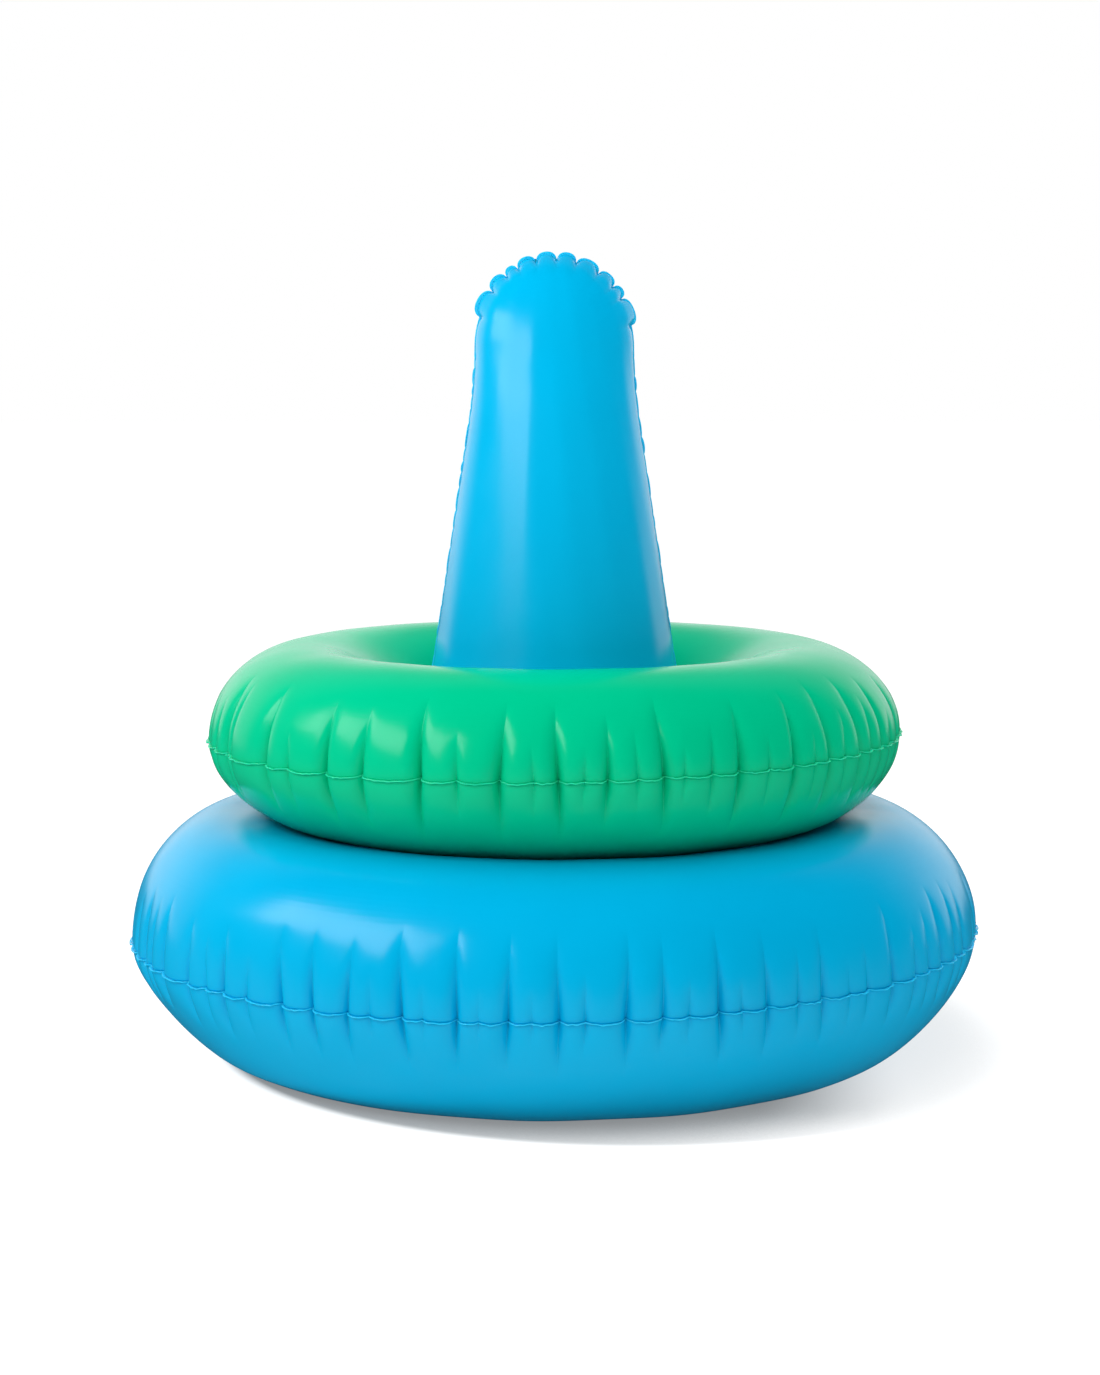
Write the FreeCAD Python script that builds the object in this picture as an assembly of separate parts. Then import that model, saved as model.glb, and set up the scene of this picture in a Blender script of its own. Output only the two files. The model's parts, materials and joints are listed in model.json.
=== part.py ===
"""Inflatable ring toss set: a ring-shaped base, a tapered post standing in it, and one tossing ring.

Everything is soft PVC sheet. Each air chamber is cut as flat panels, welded together along a narrow
flange, and has its own push-in valve. The base and the ring are tubes bent round in a circle, with
one weld round the outside and one round the hole. The post is a front and a back panel welded up
both sides and over the rounded top, where the flange gathers into small lobes, and closed by a
round foot panel.

Frame: millimetres, +Z up, the origin on the floor on the axis of the post. The post's two panels
face -Y (front) and +Y (back), so its side welds lie in the plane Y = 0.
"""

import FreeCAD
import Part
import math
import os
from FreeCAD import Vector

# Sheet and welds
WALL = 0.5                   # thickness of the PVC sheet
WELD = 2 * WALL              # a weld flange is two sheets thick
LIP = 3.5                    # how far a weld flange stands out from a tube
POST_LIP = 2.0               # the same up the sides of the post
ROUND = 0.5523               # fullness of a curve that is a quarter of an ellipse

# Base
BASE_OUTER = 399.0           # radius at the outer weld
BASE_INNER = 166.0           # radius at the inner weld
BASE_CROWN = 300.0           # radius of the top of the tube
BASE_SEAM_Z = 105.0
BASE_RISE = 114.0            # from the weld to the top of the tube
BASE_SOLE = (285.0, 310.0)   # radii of the flat band that lies on the floor
BASE_UNDER_FULLNESS = 0.33   # the underside runs in almost straight from the weld

# Ring
RING_OUTER = 325.5
RING_INNER = 144.0
RING_CROWN = 233.0
RING_SEAM_Z = 290.7          # lying on the base with a hair's gap
RING_RISE = 84.0
RING_DROP = 81.0
RING_UNDER_FULLNESS = 0.48

# Post
FOOT_Z = BASE_SEAM_Z + WALL / 2
CONE_Z = (FOOT_Z + WALL, 600.0)       # the straight taper
CONE_R = (152.7, 76.4)
SHOULDER_Z = 650.0                    # where the domed top starts
SHOULDER_R = (73.5, 64.0)             # half width and half depth there
MIDWAY_Z = 625.0
MIDWAY_R = (73.8, 71.2)
DOME_RISE = 81.0
FOOT_WELD_R = 159.5
LOBES = 10                            # lobes of the gathered flange over the top
LOBE_R = 12.0
LOBE_REACH = 8.0                      # how far a lobe stands out from the dome
LOBE_SPREAD = 66.0                    # degrees either side of the top, along the dome's ellipse

# Valve, in its own frame: the panel's outer face is at height 0, and the chamber is below
VALVE_HOLE_R = 9.5
PATCH_R = 17.0
PATCH_T = 0.8
STEM_R = 6.0
BORE_R = 4.2
STEM_TOP = -0.6
STEM_BOTTOM = -14.0
COLLAR_R = 6.6
COLLAR_H = 2.0
RIM_R = 7.4
RIM_H = 1.6
BELLOWS_TOP = -1.0
CAP_R = 6.9
CAP_T = 1.6
CAP_EDGE = 0.4                        # rounding of its rim
GAP = 0.1                             # between the cap and the rim of the stem
CLEARANCE = 0.05                      # between the stem and the pieces that fit round or under it
PIN_R = (4.15, 3.1)                   # at the mouth of the bore and at the end
PIN_L = 4.5
STRAP_W = 4.4
HINGE_U = -8.0                        # the strap bends here, this far from the bore's axis
LUG_END = -8.2                        # the lug under it reaches a little further
TAB_REACH = 12.0
TAB_W = 5.0
FLAP_R = 5.4
FLAP_T = 0.4
# Where each valve is: direction round the axis in degrees, then the place up the curve or wall
BASE_VALVE = (68.0, 0.52)
RING_VALVE = (112.0, 0.42)
POST_VALVE = (90.0, 440.0)

UP = Vector(0, 0, 1)
ORIGIN = Vector(0, 0, 0)


def at(r, z):
    """A point of a half section, which lies in the XZ plane."""
    return Vector(r, 0, z)


def quarter(seam, crown, fullness):
    """A curve that leaves the weld upright and reaches the top or bottom of the tube level."""
    (seam_r, seam_z), (crown_r, crown_z) = seam, crown
    curve = Part.BezierCurve()
    curve.setPoles([
        at(seam_r, seam_z),
        at(seam_r, seam_z + fullness * (crown_z - seam_z)),
        at(crown_r + fullness * (seam_r - crown_r), crown_z),
        at(crown_r, crown_z),
    ])
    return curve


def line(a, b):
    return Part.LineSegment(a, b).toShape()


class Tube:
    """A ring-shaped air chamber: two welds, and a curve over and under from one to the other."""

    def __init__(self, outer, inner, seam_z, rise, drop, top, sole, under_fullness=ROUND):
        self.outer, self.inner, self.seam_z = outer, inner, seam_z
        self.halves = {
            "top": (rise, (top, top), ROUND),
            "bottom": (-drop, sole, under_fullness),
        }

    def outer_curve(self, half, inset=0.0):
        height, (_, crown), fullness = self.halves[half]
        level = self.seam_z + math.copysign(abs(height) - inset, height)
        return quarter((self.outer - inset, self.seam_z), (crown, level), fullness)

    def inner_curve(self, half, inset=0.0):
        height, (crown, _), _ = self.halves[half]
        level = self.seam_z + math.copysign(abs(height) - inset, height)
        return quarter((self.inner + inset, self.seam_z), (crown, level), ROUND)

    def skin(self, half, inset=0.0):
        """The edges from the outer weld over (or under) to the inner weld."""
        over, back = self.outer_curve(half, inset), self.inner_curve(half, inset)
        edges = [over.toShape(), back.toShape()]
        a, b = over.EndPoint, back.EndPoint
        if a.distanceToPoint(b) > WALL:
            edges.insert(1, line(a, b))
        return edges

    def panel(self, half):
        """One sheet of the chamber."""
        edges = self.skin(half) + self.skin(half, WALL)
        edges.append(line(at(self.outer, self.seam_z), at(self.outer - WALL, self.seam_z)))
        edges.append(line(at(self.inner, self.seam_z), at(self.inner + WALL, self.seam_z)))
        return turned(edges)

    def core(self, inset):
        """The solid inside the chamber, its surface this far in from the outside of the sheet."""
        return turned(self.skin("top", inset) + self.skin("bottom", inset))


def turned(edges):
    """The solid made by turning a closed outline once round the Z axis."""
    face = Part.Face(Part.Wire(Part.__sortEdges__(edges)))
    return face.revolve(ORIGIN, UP, 360)


def flat_ring(inner_r, outer_r, low, high):
    """A washer round the Z axis."""
    corners = [at(inner_r, low), at(outer_r, low), at(outer_r, high), at(inner_r, high)]
    return turned([line(a, b) for a, b in zip(corners, corners[1:] + corners[:1])])


def disc(radius, low, high, centre=(0.0, 0.0)):
    return Part.makeCylinder(radius, high - low, Vector(centre[0], centre[1], low))


def weld(inner_r, outer_r, seam_z):
    return flat_ring(inner_r, outer_r, seam_z - WELD / 2, seam_z + WELD / 2)


# ---------------------------------------------------------------- post


def taper_r(z):
    """The post's radius on its straight taper."""
    (low, high), (wide, narrow) = CONE_Z, CONE_R
    return wide + (narrow - wide) * (z - low) / (high - low)


def ellipse_wire(half_width, half_depth, z):
    return Part.Wire(Part.Ellipse(at(0, z), half_width, half_depth).toShape())


def post_core(inset=0.0, foot_z=CONE_Z[0]):
    """The inflated post: a straight taper, a shoulder that flattens it, and an elliptical dome."""
    high, narrow = CONE_Z[1], CONE_R[1]
    cone = Part.makeCone(taper_r(foot_z) - inset, narrow - inset, high - foot_z, at(0, foot_z))
    stations = [
        Part.Wire(Part.Circle(at(0, high), UP, narrow - inset).toShape()),
        ellipse_wire(MIDWAY_R[0] - inset, MIDWAY_R[1] - inset, MIDWAY_Z),
        ellipse_wire(SHOULDER_R[0] - inset, SHOULDER_R[1] - inset, SHOULDER_Z),
    ]
    shoulder = Part.makeLoft(stations, True, True)
    dome = Part.makeSphere(1.0, ORIGIN, UP, 0, 90, 360)
    stretch = FreeCAD.Matrix()
    stretch.scale(SHOULDER_R[0] - inset, SHOULDER_R[1] - inset, DOME_RISE - inset)
    dome = dome.transformGeometry(stretch)
    dome.translate(at(0, SHOULDER_Z))
    return cone.fuse([shoulder, dome])


def half_space(front):
    """A box that holds everything on one side of the plane Y = 0."""
    reach = 2 * BASE_OUTER
    return Part.makeBox(2 * reach, reach, 2 * reach, Vector(-reach, -reach if front else 0, 0))


def post_plate(extra):
    """A plate as thick as a weld, cut to the post's front outline and this much wider."""
    foot_z = FOOT_Z + WELD
    side = [
        at(taper_r(foot_z) + extra, foot_z),
        at(CONE_R[1] + extra, CONE_Z[1]),
        at(MIDWAY_R[0] + extra, MIDWAY_Z),
        at(SHOULDER_R[0] + extra, SHOULDER_Z),
    ]
    other_side = [at(-point.x, point.z) for point in reversed(side)]
    top = at(0, SHOULDER_Z + DOME_RISE + extra)
    oval = Part.Ellipse(top, side[-1], at(0, SHOULDER_Z))
    edges = [line(a, b) for a, b in zip(side, side[1:])]
    edges.append(Part.ArcOfEllipse(oval, -math.pi / 2, math.pi / 2).toShape())
    edges += [line(a, b) for a, b in zip(other_side, other_side[1:])]
    edges.append(line(other_side[-1], side[0]))
    return plate(Part.Face(Part.Wire(Part.__sortEdges__(edges))))


def plate(face):
    """The face, which lies in the plane Y = 0, made as thick as a weld."""
    face.translate(Vector(0, -WELD / 2, 0))
    return face.extrude(Vector(0, WELD, 0))


def lobe_centres():
    """Centres of the lobes, evenly spaced over the dome and a little inside its outline."""
    depth = LOBE_R - LOBE_REACH
    for n in range(LOBES):
        angle = math.radians(LOBE_SPREAD * (2 * n / (LOBES - 1) - 1))
        x, z = SHOULDER_R[0] * math.sin(angle), DOME_RISE * math.cos(angle)
        normal = Vector(x / SHOULDER_R[0] ** 2, 0, z / DOME_RISE ** 2).normalize()
        yield Vector(x, 0, SHOULDER_Z + z) - normal * depth


def post_side_weld():
    """The flange up both sides and over the top, with its gathered lobes."""
    lobes = [
        plate(Part.Face(Part.Wire(Part.Circle(centre, Vector(0, 1, 0), LOBE_R).toShape())))
        for centre in lobe_centres()
    ]
    return post_plate(POST_LIP).fuse(lobes).cut(post_plate(0.0)).removeSplitter()


# ---------------------------------------------------------------- valves


class Seat:
    """Where a valve sits: a point on a panel, the way out, and the way its pull tab points."""

    def __init__(self, point, out, tab, azimuth):
        turn = FreeCAD.Rotation(UP, azimuth)
        self.point = turn.multVec(point)
        self.out = turn.multVec(out).normalize()
        self.tab = turn.multVec(tab).normalize()
        self.across = self.out.cross(self.tab)
        rotation = FreeCAD.Rotation(self.tab, self.across, self.out, "ZXY")
        self.placement = FreeCAD.Placement(self.point, rotation)

    def place(self, shape):
        placed = shape.copy()
        placed.Placement = self.placement
        return placed

    def world(self, u, w):
        """A point of the valve's middle plane, in the frame of the whole set."""
        return self.point + self.tab * u + self.out * w


def tube_seat(tube, valve):
    azimuth, place = valve
    curve = tube.outer_curve("top")
    tangent = curve.tangent(place)[0]
    return Seat(curve.value(place), Vector(tangent.z, 0, -tangent.x), tangent * -1, azimuth)


def post_seat(valve):
    azimuth, z = valve
    slope = taper_r(z) - taper_r(z + 1)
    return Seat(at(taper_r(z), z), Vector(1, 0, slope), Vector(slope, 0, -1), azimuth)


def valve_hole(seat):
    return seat.place(disc(VALVE_HOLE_R, -PATCH_R, PATCH_R))


def valve_patch(seat, under_sheet, under_patch):
    """The valve's round base, moulded to the curve of the sheet that it is welded under."""
    blank = seat.place(disc(PATCH_R, -PATCH_R, PATCH_R))
    return under_sheet.common(blank).cut(under_patch).cut(valve_hole(seat))


def valve_bellows():
    """The soft cone that joins the stem to the patch and turns inside out as the stem pulls out."""
    foot = STEM_BOTTOM + COLLAR_H
    cuff_r = COLLAR_R + CLEARANCE
    corners = [
        at(VALVE_HOLE_R, BELLOWS_TOP),
        at(VALVE_HOLE_R, BELLOWS_TOP - PATCH_T),
        at(cuff_r + WALL, foot),
        at(cuff_r + WALL, foot - WELD),
        at(cuff_r, foot - WELD),
        at(cuff_r, foot),
        at(VALVE_HOLE_R - WALL, BELLOWS_TOP - WALL),
        at(VALVE_HOLE_R - WALL, BELLOWS_TOP),
    ]
    return turned([line(a, b) for a, b in zip(corners, corners[1:] + corners[:1])])


def valve_stem():
    """The stem: a short soft tube with a collar below, a rim above and a lug that holds the strap."""
    tube = disc(STEM_R, STEM_BOTTOM, STEM_TOP)
    collar = disc(COLLAR_R, STEM_BOTTOM, STEM_BOTTOM + COLLAR_H)
    rim = disc(RIM_R, STEM_TOP - RIM_H, STEM_TOP)
    lug = Part.makeBox(
        -LUG_END - STEM_R, STRAP_W, RIM_H / 2,
        Vector(LUG_END, -STRAP_W / 2, STEM_TOP - RIM_H / 2),
    )
    bore = disc(BORE_R, STEM_BOTTOM - WELD, WELD)
    return tube.fuse([collar, rim, lug]).cut(bore).removeSplitter()


def valve_plug():
    """The stopper: a cap with a tapered pin, the strap it swings on and a tab to pull it by."""
    low = STEM_TOP + GAP
    cap = disc(CAP_R, low, low + CAP_T)
    cap = cap.makeFillet(CAP_EDGE, [e for e in cap.Edges if e.BoundBox.ZMin > low + CAP_T / 2])
    pin = Part.makeCone(PIN_R[1], PIN_R[0], PIN_L, Vector(0, 0, low - PIN_L))
    strap = Part.makeBox(-HINGE_U - STEM_R, STRAP_W, CAP_T / 2, Vector(HINGE_U, -STRAP_W / 2, low))
    tab = Part.makeBox(
        TAB_REACH - TAB_W / 2, TAB_W, CAP_T / 2, Vector(0, -TAB_W / 2, low + CAP_T / 2)
    )
    tip = disc(TAB_W / 2, low + CAP_T / 2, low + CAP_T, (TAB_REACH - TAB_W / 2, 0))
    return cap.fuse([pin, strap, tab, tip]).removeSplitter()


def valve_flap():
    """The check flap that hangs under the stem and shuts when the chamber is full."""
    top = STEM_BOTTOM - CLEARANCE
    return disc(FLAP_R, top - FLAP_T, top)


def valve(name, seat, under_sheet, under_patch):
    """The five moulded pieces of one valve, each in its own node."""
    return {
        f"{name}_valve_patch": valve_patch(seat, under_sheet, under_patch),
        f"{name}_valve_bellows": seat.place(valve_bellows()),
        f"{name}_valve_stem": seat.place(valve_stem()),
        f"{name}_valve_plug": seat.place(valve_plug()),
        f"{name}_valve_flap": seat.place(valve_flap()),
    }


# ---------------------------------------------------------------- the three chambers

BASE = Tube(
    BASE_OUTER, BASE_INNER, BASE_SEAM_Z, BASE_RISE, BASE_SEAM_Z, BASE_CROWN, BASE_SOLE,
    BASE_UNDER_FULLNESS,
)
RING = Tube(
    RING_OUTER, RING_INNER, RING_SEAM_Z, RING_RISE, RING_DROP, RING_CROWN,
    (RING_CROWN, RING_CROWN), RING_UNDER_FULLNESS,
)
SEATS = {
    "base": tube_seat(BASE, BASE_VALVE),
    "ring": tube_seat(RING, RING_VALVE),
    "post": post_seat(POST_VALVE),
}


def tube_nodes(name, tube, inner_lip):
    """The four welded pieces of a ring-shaped chamber, and its valve."""
    seat = SEATS[name]
    nodes = {
        f"{name}_top_panel": tube.panel("top").cut(valve_hole(seat)),
        f"{name}_bottom_panel": tube.panel("bottom"),
        f"{name}_outer_weld": weld(tube.outer, tube.outer + LIP, tube.seam_z),
        f"{name}_inner_weld": weld(tube.inner - inner_lip, tube.inner, tube.seam_z),
    }
    nodes.update(valve(name, seat, tube.core(WALL), tube.core(WALL + PATCH_T)))
    return nodes


def post_nodes():
    """The post's two panels, its side weld, its foot and its valve."""
    seat = SEATS["post"]
    outer = post_core()
    under_sheet = post_core(WALL, CONE_Z[0] - WELD)
    sheet = outer.cut(under_sheet)
    nodes = {
        "post_front_panel": sheet.common(half_space(True)),
        "post_back_panel": sheet.common(half_space(False)).cut(valve_hole(seat)),
        "post_side_weld": post_side_weld(),
        "post_foot_panel": disc(CONE_R[0], FOOT_Z, CONE_Z[0]),
        "post_foot_weld": flat_ring(CONE_R[0], FOOT_WELD_R, FOOT_Z, FOOT_Z + WELD),
    }
    nodes.update(valve("post", seat, under_sheet, post_core(WALL + PATCH_T, CONE_Z[0] - WELD)))
    return nodes


def main():
    os.makedirs("parts", exist_ok=True)
    nodes = tube_nodes("base", BASE, BASE_INNER - FOOT_WELD_R - WALL)
    web_r = FOOT_WELD_R + WALL
    nodes["base_centre_web"] = disc(web_r, BASE_SEAM_Z - WALL / 2, BASE_SEAM_Z + WALL / 2)
    nodes.update(tube_nodes("ring", RING, LIP))
    nodes.update(post_nodes())
    for name, shape in sorted(nodes.items()):
        shape.exportStep(f"parts/{name}.step")
        size = shape.BoundBox
        print(
            f"{name}: {len(shape.Solids)} solid, valid {shape.isValid()}, {shape.Volume:.0f} mm3, "
            f"{size.XLength:.1f} x {size.YLength:.1f} x {size.ZLength:.1f} mm"
        )


main()
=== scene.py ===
"""The looks of an inflatable ring toss set: creased vinyl tubes, a welded post and soft valves.

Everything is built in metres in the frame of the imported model: +Z up, the floor at Z = 0 and the
post on the Z axis, with its front panel facing -Y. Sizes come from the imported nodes. What is set
here is what the plain model doesn't hold: creases, welds that wander, finishes, light and camera.
"""

import json
import math

import bpy
import numpy as np
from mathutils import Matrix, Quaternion, Vector


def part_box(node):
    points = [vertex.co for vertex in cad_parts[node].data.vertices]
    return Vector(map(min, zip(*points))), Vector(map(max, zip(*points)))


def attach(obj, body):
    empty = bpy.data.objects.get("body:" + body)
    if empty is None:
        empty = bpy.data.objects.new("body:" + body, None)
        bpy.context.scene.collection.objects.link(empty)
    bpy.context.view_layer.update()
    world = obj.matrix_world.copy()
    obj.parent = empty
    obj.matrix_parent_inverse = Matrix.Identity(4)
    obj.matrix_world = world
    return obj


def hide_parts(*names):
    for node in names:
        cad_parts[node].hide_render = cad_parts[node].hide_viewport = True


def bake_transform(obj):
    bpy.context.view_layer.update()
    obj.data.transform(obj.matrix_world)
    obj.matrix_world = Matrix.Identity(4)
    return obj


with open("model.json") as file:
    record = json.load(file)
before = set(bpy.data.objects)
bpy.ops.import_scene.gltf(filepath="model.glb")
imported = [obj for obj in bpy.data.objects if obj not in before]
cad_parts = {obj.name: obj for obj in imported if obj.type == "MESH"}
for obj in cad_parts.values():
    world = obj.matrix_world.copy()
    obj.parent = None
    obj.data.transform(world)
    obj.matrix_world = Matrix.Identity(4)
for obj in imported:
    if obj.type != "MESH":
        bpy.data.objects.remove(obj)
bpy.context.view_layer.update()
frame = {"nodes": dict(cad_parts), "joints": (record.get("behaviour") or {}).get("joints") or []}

MM = 0.001
TURN = 2 * math.pi
WHITE = (1, 1, 1, 1)

# Camera: an eye at knee height, two and a half metres in front
LENS_MM = 70.0
FILM_MM = 36.0
CAMERA_PLACE = (-0.004, -2.513, 0.630)
CAMERA_TILT = math.radians(6.77)

# Surroundings: how bright they are, and the parts of a direction over which they change
WORLD_FRONT, WORLD_BACK, WORLD_CEILING, WORLD_BELOW = 0.02, 0.95, 0.2, 0.02
WORLD_WALLS = 0.35, 0.75             # towards +Y
WORLD_UPWARD = 0.2, 0.6
WORLD_DOWNWARD = -0.06, -0.01

# Lights: place, what it faces, size and power. A key light from the left and four soft ones
KEY = (-1.34, -0.66, 1.20), (-0.15, 0.2, 0.35), (1.6, 0.6), 15
KEY_ROLL = math.radians(-10)
SOFT_LIGHTS = {
    "fill": ((0.1, -2.2, 2.0), (0, 0, 0.25), (3.0, 2.4), 45),
    "top": ((0.1, 0.3, 2.8), (0, 0, 0.3), (2.6, 2.0), 40),
    "right": ((2.0, 1.3, 1.3), (0, 0, 0.4), (1.8, 1.8), 24),
    "left": ((-2.0, 1.3, 1.3), (0, 0, 0.4), (1.8, 1.8), 24),
}

# Floor: it glows white, but for a shadow that leans away from the key light and thins out towards +X
FLOOR_HALF_WIDTH = 30.0
FLOOR_COLOUR = (0.2, 0.195, 0.19, 1)
FLOOR_SHADE_REACH, FLOOR_DARKEST, FLOOR_GLOW = 0.15, 0.05, 1.0
FLOOR_OPEN = 0.9                     # how open to the sky the floor is where it isn't shaded at all
SHADOW_CENTRE, SHADOW_EDGE = (0.065, 0, 0), (0.368, 0.392)
SHADOW_FADE, SHADOW_FADED = (0.17, 0.32), (0.25, 0.75)

# Finishes: each vinyl's colour, the deeper colour of its faint clouds, and the welds', which glow a little. The
# welds' colour is lighter than the sheets': partly the thin flange's own paler tone, partly a painted highlight
# along the weld edges and the post's lobes
BLUE, BLUE_DEEP = (0.0, 0.415, 0.72), (0.0, 0.40, 0.70)
GREEN, GREEN_DEEP = (0.0, 0.505, 0.245), (0.0, 0.49, 0.235)
BLUE_WELD_AND_HIGHLIGHT, BLUE_WELD_AND_HIGHLIGHT_DEEP = (0.02, 0.50, 0.82), (0.01, 0.47, 0.79)
GREEN_WELD_AND_HIGHLIGHT, GREEN_WELD_AND_HIGHLIGHT_DEEP = (0.02, 0.62, 0.32), (0.01, 0.58, 0.30)
WELD_SEE_THROUGH = 0.4
SHINE, GREEN_SHINE = 0.28, 0.21

# Sheet and welds
SHEET = 0.5 * MM
WELD_THICKNESS = 1.15 * MM
WELD_ROOT = 1.2 * MM                 # how far the outer welds reach in behind the sheets
SEAM_TILT = 0.013                    # the cut sheets sit a little askew: the welds rise to the right
SEAM_WAVE = 0.35                     # millimetres that slow waves move a weld up and down
SEAM_DROOP = 2.1 * MM                # how far a weld droops between two creases this far apart or more
SEAM_DROOP_GAP = 40 * MM
SEAM_SETTLES = 75 * MM               # how far from the weld the sheet still follows it up and down
WAVE_HEIGHT = 0.11                   # millimetres of slow waves all over a sheet
ROUND = 0.5523                       # fullness of a quarter of an ellipse
BASE_RADIUS, BASE_UNDER = 0.400, 0.33       # out to the weld, and the underside's fullness
RING_RADIUS, RING_UNDER = 0.326, 0.48
SECTION_ROWS = 34, 15                # rows of a sheet outside its crown and inside it
SHEET_COLUMNS = 9 * MM               # and how far apart its columns are at most
WELD_COLUMNS = 2.2 * MM

# Creases in the sheet where it is gathered at an outer weld. Each is (direction in degrees from the
# front, how deep it is and how far up and how far down it runs, as shares of the longest)
BASE_CREASES = (
    (-65.7, 0.5, 0.7, 0.6), (-61.3, 0.7, 0.8, 0.6), (-53.9, 0.6, 0.6, 0.7), (-49.2, 0.35, 0.5, 0.6),
    (-46.0, 0.8, 0.7, 0.8), (-41.2, 0.35, 0.3, 0.6), (-35.7, 0.9, 0.8, 0.8), (-30.9, 0.85, 0.8, 0.8),
    (-25.9, 0.75, 0.8, 0.8), (-22.6, 0.3, 0.4, 0.3), (-18.8, 1.0, 1.0, 0.9), (-15.8, 0.25, 0.3, 0.2),
    (-11.8, 0.9, 1.0, 0.9), (-9.0, 0.2, 0.2, 0.2), (-5.6, 0.9, 1.0, 0.85), (-2.7, 0.25, 0.2, 0.2),
    (0.5, 0.9, 1.0, 1.0), (3.6, 0.45, 0.4, 0.4), (8.5, 0.95, 1.0, 0.85), (13.0, 0.75, 0.95, 0.4),
    (16.1, 0.35, 0.3, 0.2), (20.2, 1.0, 1.0, 0.85), (22.9, 0.3, 0.2, 0.2), (26.6, 0.75, 0.9, 0.8),
    (30.8, 0.45, 0.6, 0.3), (34.8, 0.8, 0.9, 0.6), (38.8, 0.25, 0.3, 0.3), (42.2, 0.4, 0.5, 0.4),
    (47.4, 0.8, 1.0, 0.5), (52.3, 0.5, 0.5, 0.5), (55.8, 0.5, 0.7, 0.4), (59.8, 0.8, 1.0, 0.4),
    (64.5, 0.6, 1.0, 0.4), (68.3, 0.5, 0.9, 0.4),
)
RING_CREASES = (
    (-64.5, 0.6, 0.8, 0.6), (-52.4, 0.8, 0.9, 0.7), (-45.8, 0.35, 0.3, 0.6),
    (-38.1, 1.0, 0.8, 0.8), (-31.0, 0.8, 0.7, 0.8), (-20.9, 1.0, 1.0, 1.0), (-14.8, 0.4, 0.4, 0.4),
    (-8.5, 1.0, 0.9, 0.9), (-3.1, 0.3, 0.3, 0.3), (0.5, 1.0, 0.9, 0.9), (4.4, 0.3, 0.2, 0.2),
    (8.0, 0.8, 0.7, 0.6), (12.5, 0.35, 0.5, 0.2), (16.9, 1.0, 1.0, 0.8), (19.8, 0.25, 0.2, 0.2),
    (24.3, 0.4, 0.5, 0.4), (29.6, 1.0, 0.9, 0.8), (34.5, 0.3, 0.3, 0.4), (40.1, 0.9, 0.9, 0.8),
    (44.3, 0.25, 0.3, 0.4), (48.5, 0.8, 1.0, 0.7), (52.2, 0.35, 0.5, 0.4), (57.6, 0.8, 1.0, 0.6),
    (61.5, 0.5, 0.6, 0.5), (66.0, 0.7, 0.9, 0.6),
)
BASE_CREASED = 10 * MM, 80 * MM, 62 * MM       # the deepest, and the longest reaches up and down
RING_CREASED = 12 * MM, 84 * MM, 74 * MM
CREASE_WIDTH = 3.1 * MM
CREASE_OFFSETS = (-13.0, -9.0, -6.0, -3.8, -2.0, -0.8, 0.0, 0.8, 2.0, 3.8, 6.0, 9.0, 13.0)
CREASE_PILLOW = 0.24                 # how much of its depth is a wide hollow round the fold
CREASE_LEAN = 0.045                  # how far creases lean, as a slope
CREASE_LEAN_REACH = 15 * MM
BEHIND_SPACING = 3.4, 7.2            # degrees between two creases behind
BEHIND_CLEAR = 3.0                   # and at least this far from the first one of the front
BEHIND_DEPTHS = (0.35, 0.6, 0.85, 1.0)
COLUMN_GAP = 0.55 * MM               # columns of a mesh are no closer than this

# The post's levels: the end of its taper, halfway to the shoulder, and about where the shoulder is. The
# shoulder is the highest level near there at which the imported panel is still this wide
TAPER_Z, MIDWAY_Z, SHOULDER_Z = 0.6, 0.625, 0.65
LEVEL_TOLERANCE = 3 * MM
SHOULDER_HALF_WIDTH = 0.07

# The gathered weld over the post's top: its notches, in degrees from the top towards +X
POST_NOTCHES = (-70.0, -51.0, -37.0, -27.0, -13.0, 1.5, 16.0, 33.0, 47.0, 57.0, 76.0)
LOBE_CURL = (-0.2, -0.1, 0.1, -0.1, 0.1, -0.1, 0.35, 0.4, 0.25, 0.5)     # radians, back when above 0
BULGE = 6.4 * MM             # how far the chamber swells out between two notches
BULGE_DEPTH = 15.0 * MM      # and how far down each sheet that reaches
LOBE_RIM = 2.9 * MM          # the weld stands out this much further
LOBE_WAIST = 0.9 * MM        # how wide the weld is in a notch
LOBE_LENGTH = 21 * MM        # a lobe this long has its full height
LOBE_ROUND = 2.3, 0.55       # the powers that make a lobe round
NOTCH = 2.4 * MM, 3.2 * MM   # how deep and how wide a notch is drawn in
NOTCH_REACH = 14 * MM
PUCKER = 1.3 * MM, 3.0 * MM  # the same for the deepest pucker down a side
PUCKER_REACH = 8 * MM
PUCKER_SIDE = 30 * MM        # puckers don't touch the other side
PUCKERED = 0.13, 0.642       # heights between which the sides are puckered
SIDE_SEEDS = (-1, 31), (1, 32)
SIDE_WELD_ROOT = 2.6 * MM
SMOOTHED = 52                # millimetres each way over which the post's section is smoothed
FOOT_PRESS = 9.0 * MM        # the post's foot is pressed down into the web by this much
FOOT_PUCKER = 2.6 * MM       # how deep its edge is gathered

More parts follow.
